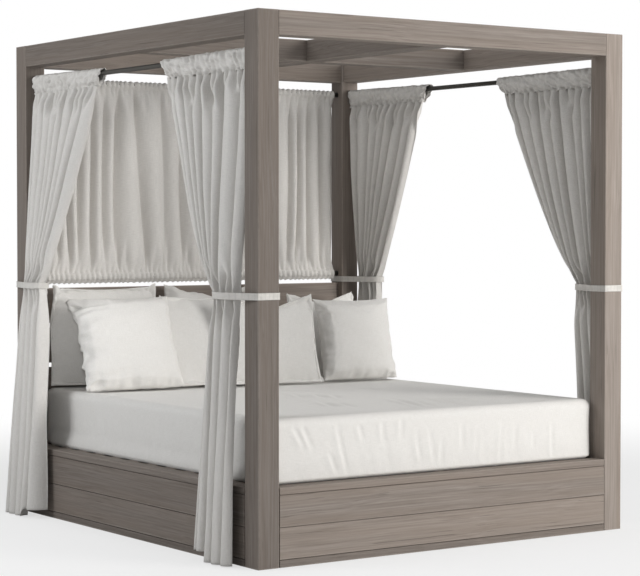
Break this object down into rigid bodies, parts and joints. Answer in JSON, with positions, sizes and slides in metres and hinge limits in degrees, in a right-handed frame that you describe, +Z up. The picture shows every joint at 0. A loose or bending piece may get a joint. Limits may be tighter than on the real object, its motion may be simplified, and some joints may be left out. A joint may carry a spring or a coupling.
{
  "type": "outdoor daybed with canopy",
  "caption": "Square teak outdoor daybed with a flat open canopy frame, slatted headboard, thick mattress, loose pillows and tied-back curtains on metal rods.",
  "frame": {"origin": "on the ground at the middle of the four posts", "axes": "+X to the right seen from the foot, +Y from the foot to the headboard, +Z up"},
  "size_m": [2.404, 2.3466, 2.44],
  "materials": {
    "teak": "weathered grey-brown, open grain",
    "deck_timber": "sawn and planed, unfinished",
    "rod_metal": "dark bronze, satin",
    "curtain_cloth": "warm grey outdoor weave",
    "tie_cloth": "pale flat-woven band",
    "cover_cloth": "off-white canvas"
  },
  "bodies": {
    "frame": {"post_front_left": "teak", "post_front_right": "teak", "post_rear_left": "teak", "post_rear_right": "teak", "bottom_rail_front": "teak", "lower_plank_front": "teak", "upper_plank_front": "teak", "cap_rail_front": "teak", "beam_front": "teak", "bottom_rail_right": "teak", "lower_plank_right": "teak", "upper_plank_right": "teak", "cap_rail_right": "teak", "beam_right": "teak", "bottom_rail_rear": "teak", "lower_plank_rear": "teak", "upper_plank_rear": "teak", "cap_rail_rear": "teak", "beam_rear": "teak", "bottom_rail_left": "teak", "lower_plank_left": "teak", "upper_plank_left": "teak", "cap_rail_left": "teak", "beam_left": "teak", "rafter_cross": "teak", "rafter_long": "teak", "headboard_plank_1": "teak", "headboard_plank_2": "teak", "headboard_plank_3": "teak", "headboard_plank_4": "teak", "headboard_stile": "teak", "slat_deck": "deck_timber", "deck_leg_front": "deck_timber", "deck_leg_rear": "deck_timber", "rod_left": "rod_metal", "rod_right": "rod_metal", "rod_rear_upper": "rod_metal", "rod_rear_lower": "rod_metal", "curtain_drop_front_left": "curtain_cloth", "curtain_drop_front_right": "curtain_cloth", "curtain_drop_rear_left": "curtain_cloth", "curtain_drop_rear_right": "curtain_cloth", "curtain_tie_front_left": "tie_cloth", "curtain_tie_front_right": "tie_cloth", "curtain_tie_rear_left": "tie_cloth", "curtain_tie_rear_right": "tie_cloth"},
    "pocket_front_left": {"curtain_pocket_front_left": "curtain_cloth"},
    "pocket_front_right": {"curtain_pocket_front_right": "curtain_cloth"},
    "pocket_rear_left": {"curtain_pocket_rear_left": "curtain_cloth"},
    "pocket_rear_right": {"curtain_pocket_rear_right": "curtain_cloth"},
    "back_curtain": {"rear_curtain": "curtain_cloth"},
    "bed_mattress": {"mattress": "cover_cloth"},
    "back_pillows": {"back_pillow_left": "cover_cloth", "back_pillow_centre": "cover_cloth", "back_pillow_right": "cover_cloth"},
    "middle_pillows": {"front_pillow_centre_left": "cover_cloth", "front_pillow_right": "cover_cloth"},
    "left_pillow": {"front_pillow_left": "cover_cloth"},
    "centre_pillow": {"front_pillow_centre_right": "cover_cloth"}
  },
  "joints": [
    {"name": "pocket_front_left_slide", "type": "slide", "parent": "frame", "child": "pocket_front_left", "axis": [0, 1, 0], "range_m": [0, 0.26]},
    {"name": "pocket_front_right_slide", "type": "slide", "parent": "frame", "child": "pocket_front_right", "axis": [0, 1, 0], "range_m": [0, 0.26]},
    {"name": "pocket_rear_left_slide", "type": "slide", "parent": "frame", "child": "pocket_rear_left", "axis": [0, -1, 0], "range_m": [0, 0.26]},
    {"name": "pocket_rear_right_slide", "type": "slide", "parent": "frame", "child": "pocket_rear_right", "axis": [0, -1, 0], "range_m": [0, 0.26]},
    {"name": "back_curtain_slide", "type": "slide", "parent": "frame", "child": "back_curtain", "axis": [1, 0, 0], "range_m": [-0.015, 0.015]},
    {"name": "mattress_lift", "type": "slide", "parent": "frame", "child": "bed_mattress", "axis": [0, 0, 1], "range_m": [0, 0.25]},
    {"name": "back_pillows_lift", "type": "slide", "parent": "bed_mattress", "child": "back_pillows", "axis": [0, 0, 1], "range_m": [0, 0.25]},
    {"name": "middle_pillows_lift", "type": "slide", "parent": "back_pillows", "child": "middle_pillows", "axis": [0, 0, 1], "range_m": [0, 0.25]},
    {"name": "left_pillow_lift", "type": "slide", "parent": "middle_pillows", "child": "left_pillow", "axis": [0, 0, 1], "range_m": [0, 0.25]},
    {"name": "centre_pillow_lift", "type": "slide", "parent": "middle_pillows", "child": "centre_pillow", "axis": [0, 0, 1], "range_m": [0, 0.25]}
  ]
}
